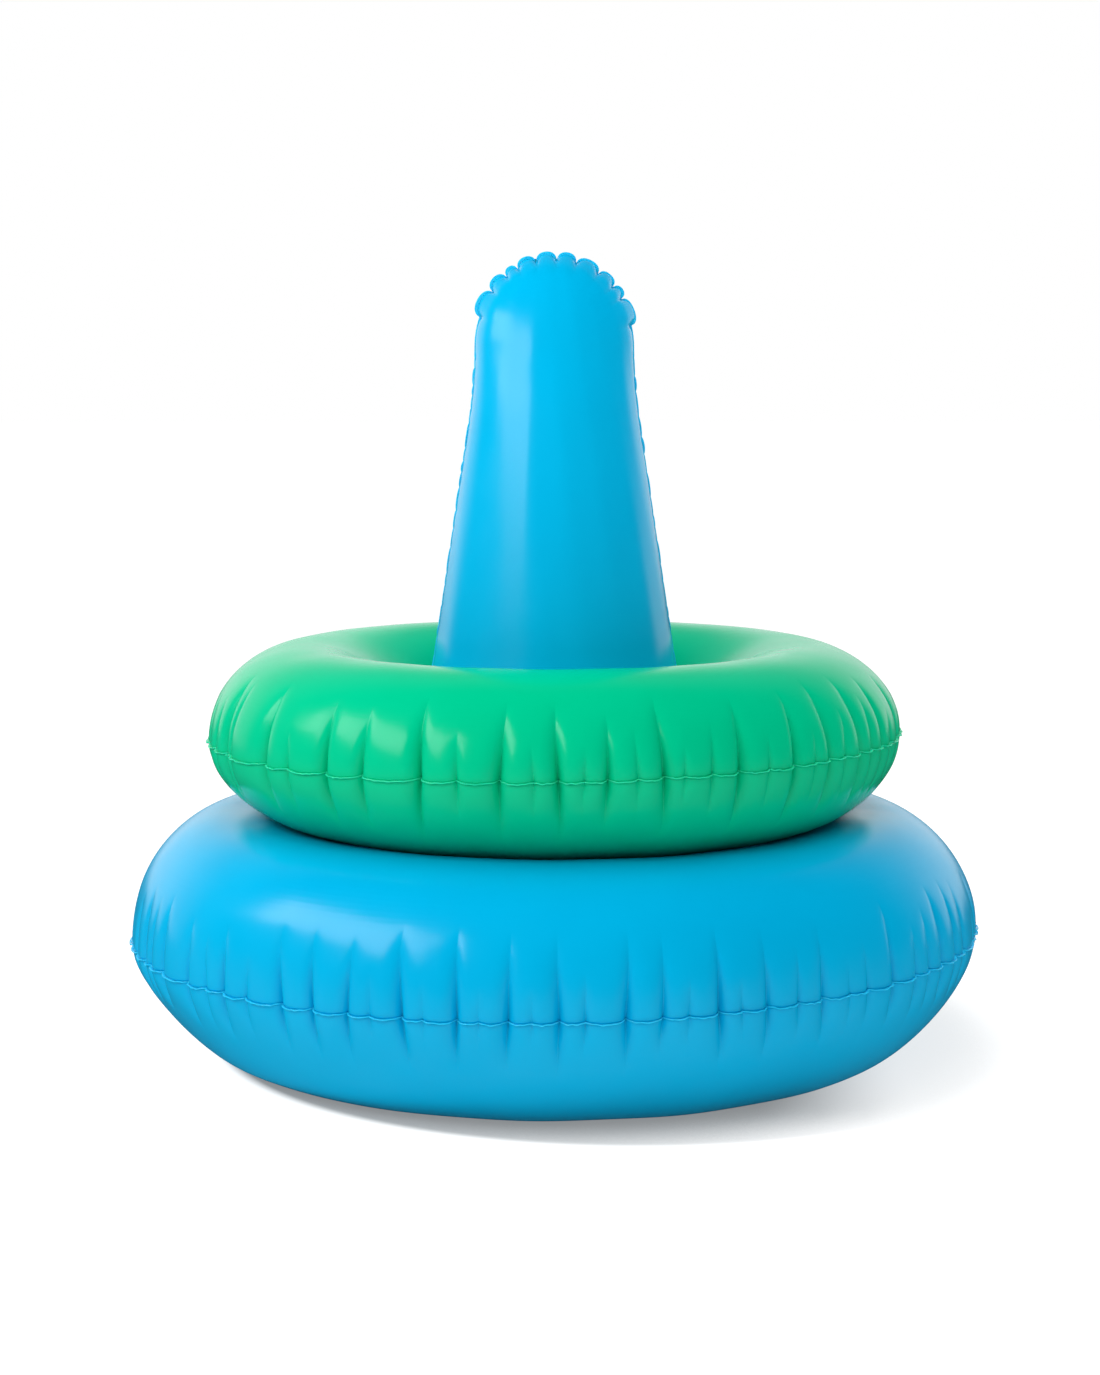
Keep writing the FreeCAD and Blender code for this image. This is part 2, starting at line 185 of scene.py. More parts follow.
# Valves
VALVE_HOLE_R = 9.5 * MM
VALVE_ZONE, VALVE_ZONE_DEPTH = 26 * MM, 12 * MM              # the part of the sheet that a valve can change
VALVE_GRID = np.arange(-17, 18) * 1.25 * MM                  # finer rows and columns of the sheet round it
PATCH_EDGE, PATCH_RAISED = (16.2 * MM, 17.6 * MM), 0.45 * MM     # the sheet lies higher over the patch
STEM_SUNK = 0.6 * MM                                         # the stem's rim is this far below the sheet
SKIRT = (                                                    # the bellows' outline: radius and height, in mm
    (9.4, -0.3), (9.3, -0.8), (8.9, -2.5), (8.9, -4.5), (8.2, -6.0), (8.3, -8.0), (7.6, -9.5),
    (7.2, -11.3), (7.15, -12.4),
)
SKIRT_THICKNESS = 0.45


# ---------------------------------------------------------------- meshes


def mesh_object(name, points, faces, material, smooth=True):
    """A new object whose mesh has these points and faces."""
    mesh = bpy.data.meshes.new(name)
    mesh.from_pydata([tuple(p) for p in points], [], faces)
    mesh.validate()
    mesh.update()
    mesh.polygons.foreach_set("use_smooth", [smooth] * len(mesh.polygons))
    piece = bpy.data.objects.new(name, mesh)
    bpy.context.scene.collection.objects.link(piece)
    mesh.materials.append(material)
    return piece


def grid_faces(columns, rows, closed_columns=False, closed_rows=False):
    """Quads over a grid whose points are stored column by column."""
    faces = []
    for i in range(columns if closed_columns else columns - 1):
        here, there = i * rows, (i + 1) % columns * rows
        for j in range(rows if closed_rows else rows - 1):
            after = (j + 1) % rows
            faces.append((here + j, there + j, there + after, here + after))
    return faces


def apply_modifiers(piece):
    """The piece's own mesh takes the result of its modifiers."""
    graph = bpy.context.evaluated_depsgraph_get()
    mesh = bpy.data.meshes.new_from_object(piece.evaluated_get(graph))
    piece.modifiers.clear()
    piece.data = mesh
    return piece


def thicken(piece, thickness):
    """Gives a sheet its thickness, on the inner side."""
    solidify = piece.modifiers.new("sheet", "SOLIDIFY")
    solidify.thickness = thickness
    solidify.offset = -1
    return apply_modifiers(piece)


def smoothstep(low, high, value):
    """0 below low, 1 above high, and a smooth rise between."""
    t = np.clip((value - low) / (high - low), 0, 1)
    return t * t * (3 - 2 * t)


def node_points(node):
    """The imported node's points at rest."""
    mesh = frame["nodes"][node].data
    points = np.zeros(3 * len(mesh.vertices))
    mesh.vertices.foreach_get("co", points)
    return points.reshape(-1, 3)


# ---------------------------------------------------------------- creased tubes


def wrapped(angle):
    """The angle brought to between minus and plus half a turn."""
    return (angle + math.pi) % TURN - math.pi


class Creases:
    """The creases round one tube's outer weld: those given for the front and more like them behind."""

    def __init__(self, front, radius, deepest, reach_up, reach_down, seed):
        chance = np.random.default_rng(seed)
        rows = [(math.radians(a), depth, up, down) for a, depth, up, down in front]
        angle, last = rows[-1][0], rows[0][0] + TURN
        while True:
            angle += math.radians(chance.uniform(*BEHIND_SPACING))
            if angle > last - math.radians(BEHIND_CLEAR):
                break
            depth = chance.choice(BEHIND_DEPTHS)
            rows.append((angle, depth, depth * chance.uniform(0.7, 1.0), depth * chance.uniform(0.6, 1.0)))
        table = np.array(rows)
        self.radius = radius
        self.angle, self.depth = table[:, 0], table[:, 1] * deepest
        self.reach = {
            "top": reach_up * (0.25 + 0.75 * table[:, 2]),
            "bottom": reach_down * (0.25 + 0.75 * table[:, 3]),
        }
        self.width = CREASE_WIDTH * (0.75 + 0.25 * table[:, 1]) * chance.uniform(0.85, 1.2, len(rows))
        self.lean = {half: chance.normal(0, CREASE_LEAN, len(rows)) for half in ("top", "bottom")}
        waves = np.arange(3, 15)
        phases = chance.uniform(0, TURN, len(waves))
        self.waves = waves, phases, chance.normal(0, 1, len(waves)) / waves ** 0.7

    def columns(self, spacing, extra=()):
        """Directions for a mesh's columns: close together at each crease, and never far apart."""
        offsets = np.array(CREASE_OFFSETS) * MM / self.radius
        dense = (self.angle[:, None] + offsets[None, :]).ravel() % TURN
        wanted = np.sort(np.concatenate([dense, np.array(extra) % TURN]))
        kept = [wanted[0]]
        for angle in wanted[1:]:
            if (angle - kept[-1]) * self.radius > COLUMN_GAP:
                kept.append(angle)
        kept.append(kept[0] + TURN)
        columns = []
        for a, b in zip(kept, kept[1:]):
            steps = max(1, math.ceil((b - a) * self.radius / spacing))
            columns += [a + (b - a) * i / steps for i in range(steps)]
        return np.array(columns)

    def wander(self, angle):
        """How far the weld stands above its level: the tilt, slow waves and a droop between creases."""
        numbers, phases, sizes = self.waves
        slow = (np.sin(numbers * angle[..., None] + phases) * sizes).sum(-1) * SEAM_WAVE * MM
        order = np.sort(self.angle % TURN)
        ends = np.concatenate([order[-1:] - TURN, order, order[:1] + TURN])
        spot = np.searchsorted(ends, angle % TURN, side="right")
        left, right = ends[spot - 1], ends[spot]
        along = (angle % TURN - left) / (right - left)
        gap = np.clip((right - left) * self.radius / SEAM_DROOP_GAP, 0, 1)
        droop = -SEAM_DROOP * gap * 4 * along * (1 - along)
        return SEAM_TILT * self.radius * np.sin(angle) + slow + droop

    def bent(self, angle, arc, half):
        """The direction of each point once the columns lean as their creases lean."""
        shift = np.zeros_like(arc + angle)
        for at, lean, reach in zip(self.angle, self.lean[half], self.reach[half]):
            near = np.exp(-((wrapped(angle - at) * self.radius / CREASE_LEAN_REACH) ** 2))
            shift = shift + near * lean * arc * np.clip(1.6 - arc / reach, 0, 1)
        return angle + shift / self.radius

    def inward(self, angle, arc, half):
        """How far the sheet is drawn in, this far along its section from the weld."""
        total = np.zeros_like(arc + angle)
        for at, depth, width, reach in zip(self.angle, self.depth, self.width, self.reach[half]):
            offset = wrapped(angle - at) * self.radius
            along = np.clip(arc / reach, 0, 1)
            fade = (1 - along ** 1.6) ** 1.5
            wide = width * (1 + 0.9 * along)
            fold = np.exp(-((np.abs(offset) / wide) ** 1.05))
            pillow = CREASE_PILLOW * np.exp(-((offset / (4.0 * width)) ** 2)) * (1 - along)
            total = total + depth * fade * (fold + pillow) * (0.8 + 0.2 * (1 - along))
        return total


class Tube:
    """A ring-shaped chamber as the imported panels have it."""

    def __init__(self, name, under_fullness, creases):
        self.name, self.creases = name, creases
        top = node_points(f"{name}_top_panel")
        under = node_points(f"{name}_bottom_panel")
        radius = np.hypot(top[:, 0], top[:, 1])
        under_radius = np.hypot(under[:, 0], under[:, 1])
        weld_low, weld_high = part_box(f"{name}_outer_weld")
        lowest = under_radius[under[:, 2] < under[:, 2].min() + 0.05 * MM]
        self.outer, self.inner = radius.max(), radius.min()
        self.seam_z = (weld_low.z + weld_high.z) / 2
        self.lip = weld_high.x - self.outer
        crown = radius[top[:, 2].argmax()]
        self.halves = {
            "top": (top[:, 2].max() - self.seam_z, (crown, crown), ROUND),
            "bottom": (under[:, 2].min() - self.seam_z, (lowest.min(), lowest.max()), under_fullness),
        }

    def section(self, half, rows_outside, rows_inside):
        """Points over (or under) the tube from its outer weld to its inner one, how far along, and normals."""
        rise, (near, far), fullness = self.halves[half]
        t = np.linspace(0, 1, rows_outside) ** 1.25
        outside = bezier(quarter((self.outer, 0), (far, rise), fullness), t)
        inside = bezier(quarter((self.inner, 0), (near, rise), ROUND), np.linspace(1, 0, rows_inside))
        if far - near < 1 * MM:
            inside = inside[1:]
        line = np.vstack([outside, inside])
        step = np.diff(line, axis=0)
        arc = np.concatenate([[0], np.cumsum(np.hypot(step[:, 0], step[:, 1]))])
        slope = np.gradient(line, axis=0)
        normal = np.stack([slope[:, 1], -slope[:, 0]], 1) * (1 if half == "top" else -1)
        normal /= np.hypot(normal[:, 0], normal[:, 1])[:, None]
        normal[0] = (1, 0)
        normal[-1] = (-1, 0)
        return line, arc, normal

    def seam(self, angle):
        """The outer weld's radius and height in each direction."""
        drawn = self.creases.inward(angle, np.zeros_like(angle), "top")
        return self.outer - drawn, self.seam_z + self.creases.wander(angle)


def quarter(seam, crown, fullness):
    """Poles of a curve that leaves the weld upright and reaches the crown level."""
    (seam_r, seam_z), (crown_r, crown_z) = seam, crown
    return np.array([
        (seam_r, seam_z),
        (seam_r, seam_z + fullness * (crown_z - seam_z)),
        (crown_r + fullness * (seam_r - crown_r), crown_z),
        (crown_r, crown_z),
    ])


def bezier(poles, t):
    """Points of the curve with these four poles."""
    t = t[:, None]
    ends = (1 - t) ** 3 * poles[0], t ** 3 * poles[3]
    return ends[0] + 3 * (1 - t) ** 2 * t * poles[1] + 3 * (1 - t) * t * t * poles[2] + ends[1]


def surface_waves(angle, arc, seed):
    """Slow waves all over the sheet, a fraction of a millimetre high, that make reflections swim."""
    chance = np.random.default_rng(seed)
    total = np.zeros_like(arc + angle)
    for _ in range(9):
        round_it, along_it = chance.integers(4, 19), chance.uniform(-22, 22)
        size, phase = chance.uniform(0.3, 1.0), chance.uniform(0, TURN)
        total = total + size * np.sin(round_it * angle + along_it * arc + phase)
    return total * WAVE_HEIGHT * MM


def tube_sheet(tube, half, material, valve=None):
    """One creased sheet of a tube, with a hole where its valve is."""
    line, arc, normal = tube.section(half, *SECTION_ROWS)
    extra = () if valve is None else valve.columns()
    if valve is not None:
        line, arc, normal = with_rows(line, arc, normal, valve.rows(line))
    angle = tube.creases.columns(SHEET_COLUMNS, extra)
    angle, arc = angle[:, None], arc[None, :]
    drawn = tube.creases.inward(angle, arc, half)
    settle = np.clip(1 - arc / SEAM_SETTLES, 0, 1) ** 2
    ripple = surface_waves(angle, arc, seed=11 if half == "top" else 12) * smoothstep(0, 30 * MM, arc)
    ripple = ripple * smoothstep(0, 20 * MM, arc.max() - arc)
    out = ripple - drawn
    at = tube.creases.bent(angle, arc, half)
    r = line[None, :, 0] + normal[None, :, 0] * out
    z = tube.seam_z + line[None, :, 1] + normal[None, :, 1] * out + tube.creases.wander(angle) * settle
    if half == "bottom":
        z = np.maximum(z, tube.seam_z + tube.halves["bottom"][0])
    points = np.stack([r * np.sin(at), -r * np.cos(at), z], -1)
    columns, rows = points.shape[:2]
    faces = grid_faces(columns, rows, closed_columns=True)
    if half == "bottom":
        faces = [face[::-1] for face in faces]
    points = points.reshape(-1, 3)
    if valve is not None:
        points, faces = valve.cut(points, faces)
    piece = mesh_object(f"{tube.name}_{half}_sheet", points, faces, material)
    return thicken(piece, SHEET)


def with_rows(line, arc, normal, wanted):
    """The section with more rows, at these places along it."""
    places = np.sort(np.concatenate([arc, wanted]))
    places = places[np.concatenate([[True], np.diff(places) > 0.4 * MM])]
    if places[-1] < arc[-1]:
        places[-1] = arc[-1]
    line = np.stack([np.interp(places, arc, line[:, i]) for i in (0, 1)], 1)
    normal = np.stack([np.interp(places, arc, normal[:, i]) for i in (0, 1)], 1)
    normal /= np.hypot(normal[:, 0], normal[:, 1])[:, None]
    return line, places, normal


def swept_band(name, centre, outward, upward, widths, thickness, material, closed=True):
    """A thin band with a round free edge: centre is its inner edge, outward its way across."""
    half = thickness / 2
    turns = np.radians((-90, -54, -18, 18, 54, 90))
    columns = []
    for c, o, u, w in zip(centre, outward, upward, widths):
        middle = max(w - half, 0.4 * w)
        bead = [c + o * (middle + (w - middle) * math.cos(t)) + u * half * math.sin(t) for t in turns]
        columns.append([c - u * half, *bead, c + u * half])
    rows = len(columns[0])
    points = np.array(columns).reshape(-1, 3)
    faces = grid_faces(len(columns), rows, closed_columns=closed, closed_rows=True)
    if not closed:
        last = (len(columns) - 1) * rows
        faces.append(tuple(range(rows))[::-1])
        faces.append(tuple(last + j for j in range(rows)))
    piece = mesh_object(name, points, faces, material)
    piece.data.set_sharp_from_angle(angle=math.radians(50))
    return piece


def outer_weld(tube, material, seed):
    """The welded edge round the outside: it dips between creases and ripples at its free edge."""
    chance = np.random.default_rng(seed)
    angle = tube.creases.columns(WELD_COLUMNS)
    r, z = tube.seam(angle)
    steps = len(angle)
    ripple = np.zeros(steps)
    for period in (7.0, 9.5, 13.0, 19.0):
        waves = round(TURN * tube.outer / (period * MM))
        swell = 0.5 + 0.5 * np.sin(angle * chance.integers(5, 23) + chance.uniform(0, TURN))
        ripple += swell * np.sin(waves * angle + chance.uniform(0, TURN))
    tip = 0.09 * ripple + 0.12
    outward = np.stack([np.sin(angle), -np.cos(angle), tip], -1)
    outward /= np.linalg.norm(outward, axis=1)[:, None]
    round_it = np.stack([np.cos(angle), np.sin(angle), np.zeros(steps)], -1)
    upward = np.cross(outward, round_it)
    upward *= np.sign(upward[:, 2:3])
    root = r - WELD_ROOT
    centre = np.stack([root * np.sin(angle), -root * np.cos(angle), z], -1)
    slow = 0.5 + 0.5 * np.sin(angle * 17 + 1.3)
    widths = WELD_ROOT + tube.lip * (0.62 + 0.16 * slow)
    return swept_band(f"{tube.name}_outer_weld_edge", centre, outward, upward, widths, WELD_THICKNESS, material)


def inner_weld(name, radius_out, radius_in, z, material, seed):
    """The welded edge round a hole: almost flat, with a slow ripple at its free edge."""
    chance = np.random.default_rng(seed)
    angle = np.linspace(0, TURN, 420, endpoint=False)
    tip = 0.05 * sum(np.sin(chance.integers(9, 60) * angle + chance.uniform(0, TURN)) for _ in range(5))
    inward = np.stack([-np.sin(angle), np.cos(angle), tip], -1)
    inward /= np.linalg.norm(inward, axis=1)[:, None]
    upward = np.tile((0.0, 0.0, 1.0), (len(angle), 1))
    centre = np.stack([radius_out * np.sin(angle), -radius_out * np.cos(angle), np.full(len(angle), z)], -1)
    widths = np.full(len(angle), radius_out - radius_in)
    return swept_band(name, centre, inward, upward, widths, WELD_THICKNESS, material)


# ---------------------------------------------------------------- post


def half_widths(points, z):
    """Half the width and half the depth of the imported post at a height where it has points."""
    level = points[np.abs(points[:, 2] - z) < 0.3 * MM]
    return np.abs(level[:, 0]).max(), np.abs(level[:, 1]).max()


def lobe_size(start, end):
    """How tall a lobe this long is, as a share of the tallest."""
    return min(1, (end - start) / LOBE_LENGTH) ** 0.45


def rounded(u):
    """How tall a lobe is across its length, from -1 to 1."""
    power, root = LOBE_ROUND
    return (1 - np.abs(u) ** power) ** root


class Post:
    """The post's section at every height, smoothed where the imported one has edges."""

    def __init__(self):
        points = node_points("post_front_panel")
        levels = np.unique(np.round(points[:, 2], 4))
        self.foot_z, self.top_z = points[:, 2].min(), points[:, 2].max()
        near = levels[np.abs(levels - SHOULDER_Z) < LEVEL_TOLERANCE]
        self.shoulder_z = max(z for z in near if half_widths(points, z)[0] >= SHOULDER_HALF_WIDTH)
        known = [self.foot_z, TAPER_Z, MIDWAY_Z, self.shoulder_z]
        sizes = np.array([half_widths(points, z) for z in known])
        self.rise = self.top_z - self.shoulder_z
        fine = np.arange(self.foot_z, self.shoulder_z + 0.09, 1 * MM)
        spread = np.concatenate([known, [self.shoulder_z + 0.1]])
        kernel = np.hanning(2 * SMOOTHED + 1)
        kernel /= kernel.sum()
        self.fine = fine
        self.smooth = []
        for i in (0, 1):
            values = np.concatenate([sizes[:, i], sizes[-1:, i]])
            profile = np.interp(fine, spread, values)
            ahead = np.full(SMOOTHED, profile[-1])
            padded = np.concatenate([2 * profile[0] - profile[SMOOTHED:0:-1], profile, ahead])
            self.smooth.append(np.convolve(padded, kernel, "valid"))

    def sizes(self, z):
        """Half width and half depth before the dome closes them."""
        return [np.interp(z, self.fine, values) for values in self.smooth]

    def rows(self):
        """Heights and how far the dome has closed, from the foot to the top."""
        straight = np.arange(self.foot_z, self.shoulder_z, 2.4 * MM)
        lift = np.radians(np.linspace(0, 90, 100))
        z = np.concatenate([straight, self.shoulder_z + self.rise * np.sin(lift)])
        close = np.concatenate([np.ones(len(straight)), np.cos(lift)])
        return z, close

    def outline(self):
        """The side weld's line in the plane Y = 0, from the left foot over the top to the right foot."""
        z, close = self.rows()
        half_width = self.sizes(z)[0] * close
        right = np.stack([half_width, z], 1)
        left = right[::-1].copy()
        left[:, 0] *= -1
        return np.vstack([right, left[1:]])[::-1]

    def dome_place(self, angle):
        """The weld's point this many degrees round the dome from its top."""
        a = self.sizes(np.array([self.top_z]))[0][0]
        t = math.radians(angle)
        return np.array([a * math.sin(t), self.shoulder_z + self.rise * math.cos(t)])

    def lobe_share(self, x, z):
        """How near each point's direction is to the middle of a lobe: 1 there and 0 at a notch."""
        a = self.sizes(np.array([self.top_z]))[0][0]
        angle = np.degrees(np.arctan2(x / a, np.maximum(z - self.shoulder_z, 0) / self.rise))
        share = np.zeros_like(angle)
        for low, high in zip(POST_NOTCHES, POST_NOTCHES[1:]):
            u = np.clip((2 * angle - low - high) / (high - low), -1, 1)
            reach = math.radians(high - low) * self.rise
            share = np.maximum(share, rounded(u) * lobe_size(0, reach))
        return share * (z > self.shoulder_z)


def side_puckers(seed):
    """Heights and depths of the small puckers down one side weld of the post."""
    chance = np.random.default_rng(seed)
    lowest, z = PUCKERED
    found = []
    while z > lowest:
        found.append((z, chance.choice((0.4, 0.7, 1.0), p=(0.4, 0.35, 0.25))))
        z -= chance.uniform(9, 24) * MM
    return found


def pucker_places(post):
    """Every place where the post's weld is puckered: a point in the plane Y = 0, its depth and width."""
    places = [(post.dome_place(angle), *NOTCH) for angle in POST_NOTCHES]
    depth, across = PUCKER
    for side, seed in SIDE_SEEDS:
        for z, share in side_puckers(seed):
            width = post.sizes(np.array([z]))[0][0]
            places.append((np.array([side * width, z]), depth * share, across))
    return places


def puckered(post, x, y, z):
    """How far the post's sheets are drawn in at their puckers."""
    drawn = np.zeros_like(x)
    for (px, pz), depth, width in pucker_places(post):
        on_dome = pz > post.shoulder_z
        beside = np.hypot(x - px, z - pz) if on_dome else np.abs(z - pz)
        reach = np.abs(y) / (NOTCH_REACH if on_dome else PUCKER_REACH)
        near = np.abs(x - px) < PUCKER_SIDE
        drawn += near * depth * np.exp(-((beside / width) ** 1.4)) * np.exp(-reach ** 1.3)
    return drawn


def post_sheet(post, front, material, valve=None):
    """The post's front or back sheet, puckered along the weld that joins it to the other."""
    z, close = post.rows()
    if valve is not None:
        more = valve.heights()
        z = np.concatenate([z, more])
        close = np.concatenate([close, np.ones(len(more))])
        order = np.argsort(z, kind="stable")
        z, close = z[order], close[order]
        keep = np.concatenate([[True], np.diff(z) > 0.35 * MM])
        keep[-1] = True
        z, close = z[keep], close[keep]
    turn = np.linspace(-1, 1, 75)
    turn = np.sign(turn) * (1 - (1 - np.abs(turn)) ** 1.5)
    angle = turn * math.pi / 2
    if valve is not None:
        angle = np.unique(np.round(np.concatenate([angle, valve.post_angles()]), 5))
    a, b = post.sizes(z)
    angle = angle[:, None]
    facing = -1 if front else 1
    x = a * close * np.sin(angle)
    y = facing * (b * close) * np.cos(angle)
    height = z + 0 * angle
    drawn = puckered(post, x, y, height)
    wave = surface_waves(np.arctan2(x, -y), height, seed=21 if front else 22) * 1.3 * close
    wave = wave * smoothstep(0, 25 * MM, np.abs(y))
    centre_z = np.minimum(height, post.shoulder_z)
    out = np.stack([x, y * 1.05, (height - centre_z)], -1)
    out /= np.maximum(np.linalg.norm(out, axis=-1, keepdims=True), 1e-9)
    bulge = BULGE * post.lobe_share(x, height) * np.exp(-((np.abs(y) / BULGE_DEPTH) ** 1.3))
    points = np.stack([x, y, height], -1) + out * (wave - drawn)[..., None]
    flat = out * (1, 0, 1)
    flat /= np.maximum(np.linalg.norm(flat, axis=-1, keepdims=True), 1e-9)
    points = points + flat * bulge[..., None]
    columns, rows = points.shape[:2]
    points = points.reshape(-1, 3)
    faces = grid_faces(columns, rows)
    if not front:
        faces = [face[::-1] for face in faces]
    if valve is not None:
        points, faces = valve.cut(points, faces)
    name = "post_front_sheet" if front else "post_back_sheet"
    piece = mesh_object(name, points, faces, material)
    weld = piece.modifiers.new("close_top", "WELD")
    weld.merge_threshold = 0.05 * MM
    apply_modifiers(piece)
    return thicken(piece, SHEET)


def post_side_weld(post, material):
    """The weld up both sides and over the top, where it is gathered into curling lobes."""
    line = post.outline()
    step = np.diff(line, axis=0)
    arc = np.concatenate([[0], np.cumsum(np.hypot(step[:, 0], step[:, 1]))])
    count = int(arc[-1] / (0.9 * MM))
    place = np.linspace(0, arc[-1], count)
    x, z = np.interp(place, arc, line[:, 0]), np.interp(place, arc, line[:, 1])
    slope = np.stack([np.gradient(x), np.gradient(z)], 1)
    slope /= np.linalg.norm(slope, axis=1)[:, None]
    normal = np.stack([-slope[:, 1], slope[:, 0]], 1)
    notches = [place[np.hypot(x - p[0], z - p[1]).argmin()] for p in map(post.dome_place, POST_NOTCHES)]
    widths = np.full(count, 1.1 * MM)
    curl = np.zeros(count)
    for n, (a, b) in enumerate(zip(notches, notches[1:])):
        inside = (place > a) & (place < b)
        u = (2 * place[inside] - a - b) / (b - a)
        lobe = rounded(u)
        widths[inside] = LOBE_WAIST + (BULGE + LOBE_RIM - LOBE_WAIST) * lobe * lobe_size(a, b)
        curl[inside] = LOBE_CURL[n] * lobe
    chance = np.random.default_rng(41)
    for side, seed in SIDE_SEEDS:
        puckers = sorted(z for z, _ in side_puckers(seed))
        for low, high in zip(puckers, puckers[1:]):
            inside = (np.sign(x) == side) & (z > low) & (z < high)
            u = (2 * z[inside] - low - high) / (high - low)
            size = chance.uniform(0.3, 1.0) * (1.0 + 0.9 * smoothstep(0.45, 0.64, high))
            widths[inside] = (0.5 + size * (1 - u ** 2) ** 0.6 * 1.1) * MM
            curl[inside] = chance.uniform(-0.5, 0.5) * (1 - u ** 2)
    root = SIDE_WELD_ROOT
    centre = np.stack([x - normal[:, 0] * root, np.zeros(count), z - normal[:, 1] * root], 1)
    lean = np.stack([normal[:, 0] * np.cos(curl), np.sin(curl), normal[:, 1] * np.cos(curl)], 1)
    across = np.stack([-normal[:, 0] * np.sin(curl), np.cos(curl), -normal[:, 1] * np.sin(curl)], 1)
    return swept_band(
        "post_side_weld_edge", centre, lean, across, widths + root, WELD_THICKNESS, material, closed=False,
    )


def foot_sheets(web_material, panel_material, weld_material):
    """The web across the base's hole and the post's foot panel on it, pressed down by the air above."""
    web_low, web_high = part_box("base_centre_web")
    weld_low, weld_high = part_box("post_foot_weld")
    web_r, weld_r = web_high.x, weld_high.x
    panel_r = node_points("post_foot_panel")[:, 0].max()
    chance = np.random.default_rng(71)
    angle = np.linspace(0, TURN, 240, endpoint=False)[:, None]
    numbers, phases = chance.integers(14, 46, 7), chance.uniform(0, TURN, 7)
    gathers = np.maximum(np.sin(angle * numbers + phases).mean(1), 0)[:, None] ** 1.4

    def sheet(name, radius, level, material):
        r = radius * (1 - (1 - np.linspace(0.004, 1, 34)) ** 1.35)[None, :]
        share = r / panel_r
        press = FOOT_PRESS * (1 - np.clip(share, 0, 1) ** 2.6) ** 1.2
        pucker = FOOT_PUCKER * gathers * share ** 3 * smoothstep(1.0, 0.93, share)
        z = level - press - pucker
        points = np.stack([r * np.sin(angle), -r * np.cos(angle), z + 0 * angle], -1)
        columns, rows = points.shape[:2]
        middle = tuple(i * rows for i in range(columns))[::-1]
        faces = grid_faces(columns, rows, closed_columns=True) + [middle]
        return thicken(mesh_object(name, points.reshape(-1, 3), faces, material), SHEET)

    web = sheet("base_centre_web_sheet", web_r, web_high.z, web_material)
    panel = sheet("post_foot_sheet", panel_r, weld_low.z + SHEET + 0.15 * MM, panel_material)
    weld_z = (weld_low.z + weld_high.z) / 2
    weld = inner_weld("post_foot_weld_edge", panel_r - 1 * MM, weld_r, weld_z, weld_material, seed=72)
    return web, panel, weld


# ---------------------------------------------------------------- valves


class Valve:
    """Where one valve sits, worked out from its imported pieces, and the hole that it needs in its sheet."""

    def __init__(self, host):
        self.host = host
        joint = next(j for j in frame["joints"] if j["name"] == f"{host}_stem_pull")
        self.out = Vector(joint["axis"]).normalized()
        stem = node_points(f"{host}_valve_stem")
        along = stem @ np.array(self.out)
        tube = stem[along < along.min() + 0.4 * MM]
        centre = Vector((tube.min(0) + tube.max(0)) / 2)
        hinge = next(j for j in frame["joints"] if j["name"] == f"{host}_plug_swing")
        across = -Vector(hinge["axis"]).normalized()
        self.tab = across.cross(self.out).normalized()
        self.across = across
        bottom = along.min()
        self.top = centre + self.out * (along.max() - bottom)
        self.centre = self.top + self.out * STEM_SUNK

    def columns(self):
        """Directions, from the front, of extra mesh columns over the valve."""
        middle = math.atan2(self.centre.x, -self.centre.y)
        reach = math.hypot(self.centre.x, self.centre.y)
        return middle + VALVE_GRID / reach

    def rows(self, line):
        """Places along a tube's section of extra rows over the valve, as distances from the outer weld."""
        radius = math.hypot(self.centre.x, self.centre.y)
        arc = np.concatenate([[0], np.cumsum(np.hypot(*np.diff(line, axis=0).T))])
        half = len(line) * 2 // 3
        nearest = np.abs(line[:half, 0] - radius).argmin()
        return arc[nearest] + VALVE_GRID

    def heights(self):
        """Heights of extra rows of the post's back sheet over the valve."""
        return self.centre.z + VALVE_GRID

    def post_angles(self):
        """Directions, from the back, of extra columns of that sheet."""
        return VALVE_GRID / math.hypot(self.centre.x, self.centre.y)

    def local(self, points):
        """Points as distances along the tab, across it and out."""
        offset = np.asarray(points) - np.array(self.centre)
        axes = np.array([self.tab, self.across, self.out])
        return offset @ axes.T

    def cut(self, points, faces):
        """The sheet with a round hole for the valve, and raised a little where the patch is welded."""
        place = self.local(points)
        distance = np.hypot(place[:, 0], place[:, 1])
        near = (distance < VALVE_ZONE) & (np.abs(place[:, 2]) < VALVE_ZONE_DEPTH)
        raise_by = PATCH_RAISED * (1 - smoothstep(*PATCH_EDGE, distance)) * near
        points = points + np.outer(raise_by, self.out)
        inside = near & (distance < VALVE_HOLE_R)
        kept = [face for face in faces if not any(inside[i] for i in face)]
        edge = {i for face in faces if any(inside[i] for i in face) for i in face if not inside[i]}
        for i in edge:
            pull = VALVE_HOLE_R / distance[i]
            shift = np.array(self.tab) * place[i, 0] + np.array(self.across) * place[i, 1]
            points[i] = points[i] + shift * (pull - 1)
        used = np.zeros(len(points), bool)
        used[[i for face in kept for i in face]] = True
        number = np.cumsum(used) - 1
        return points[used], [tuple(number[i] for i in face) for face in kept]


def lathe(name, valve, outline, material, steps=64):
    """A round piece on the valve's axis, from points (radius, height) of a closed outline, in mm."""
    angle = np.linspace(0, TURN, steps, endpoint=False)
    tab, across, out = (np.array(v) for v in (valve.tab, valve.across, valve.out))
    base = np.array(valve.top)
    points = []
    for a in angle:
        way = tab * math.cos(a) + across * math.sin(a)
        points += [base + (way * r + out * w) * MM for r, w in outline]
    return mesh_object(name, points, grid_faces(steps, len(outline), True, True), material)


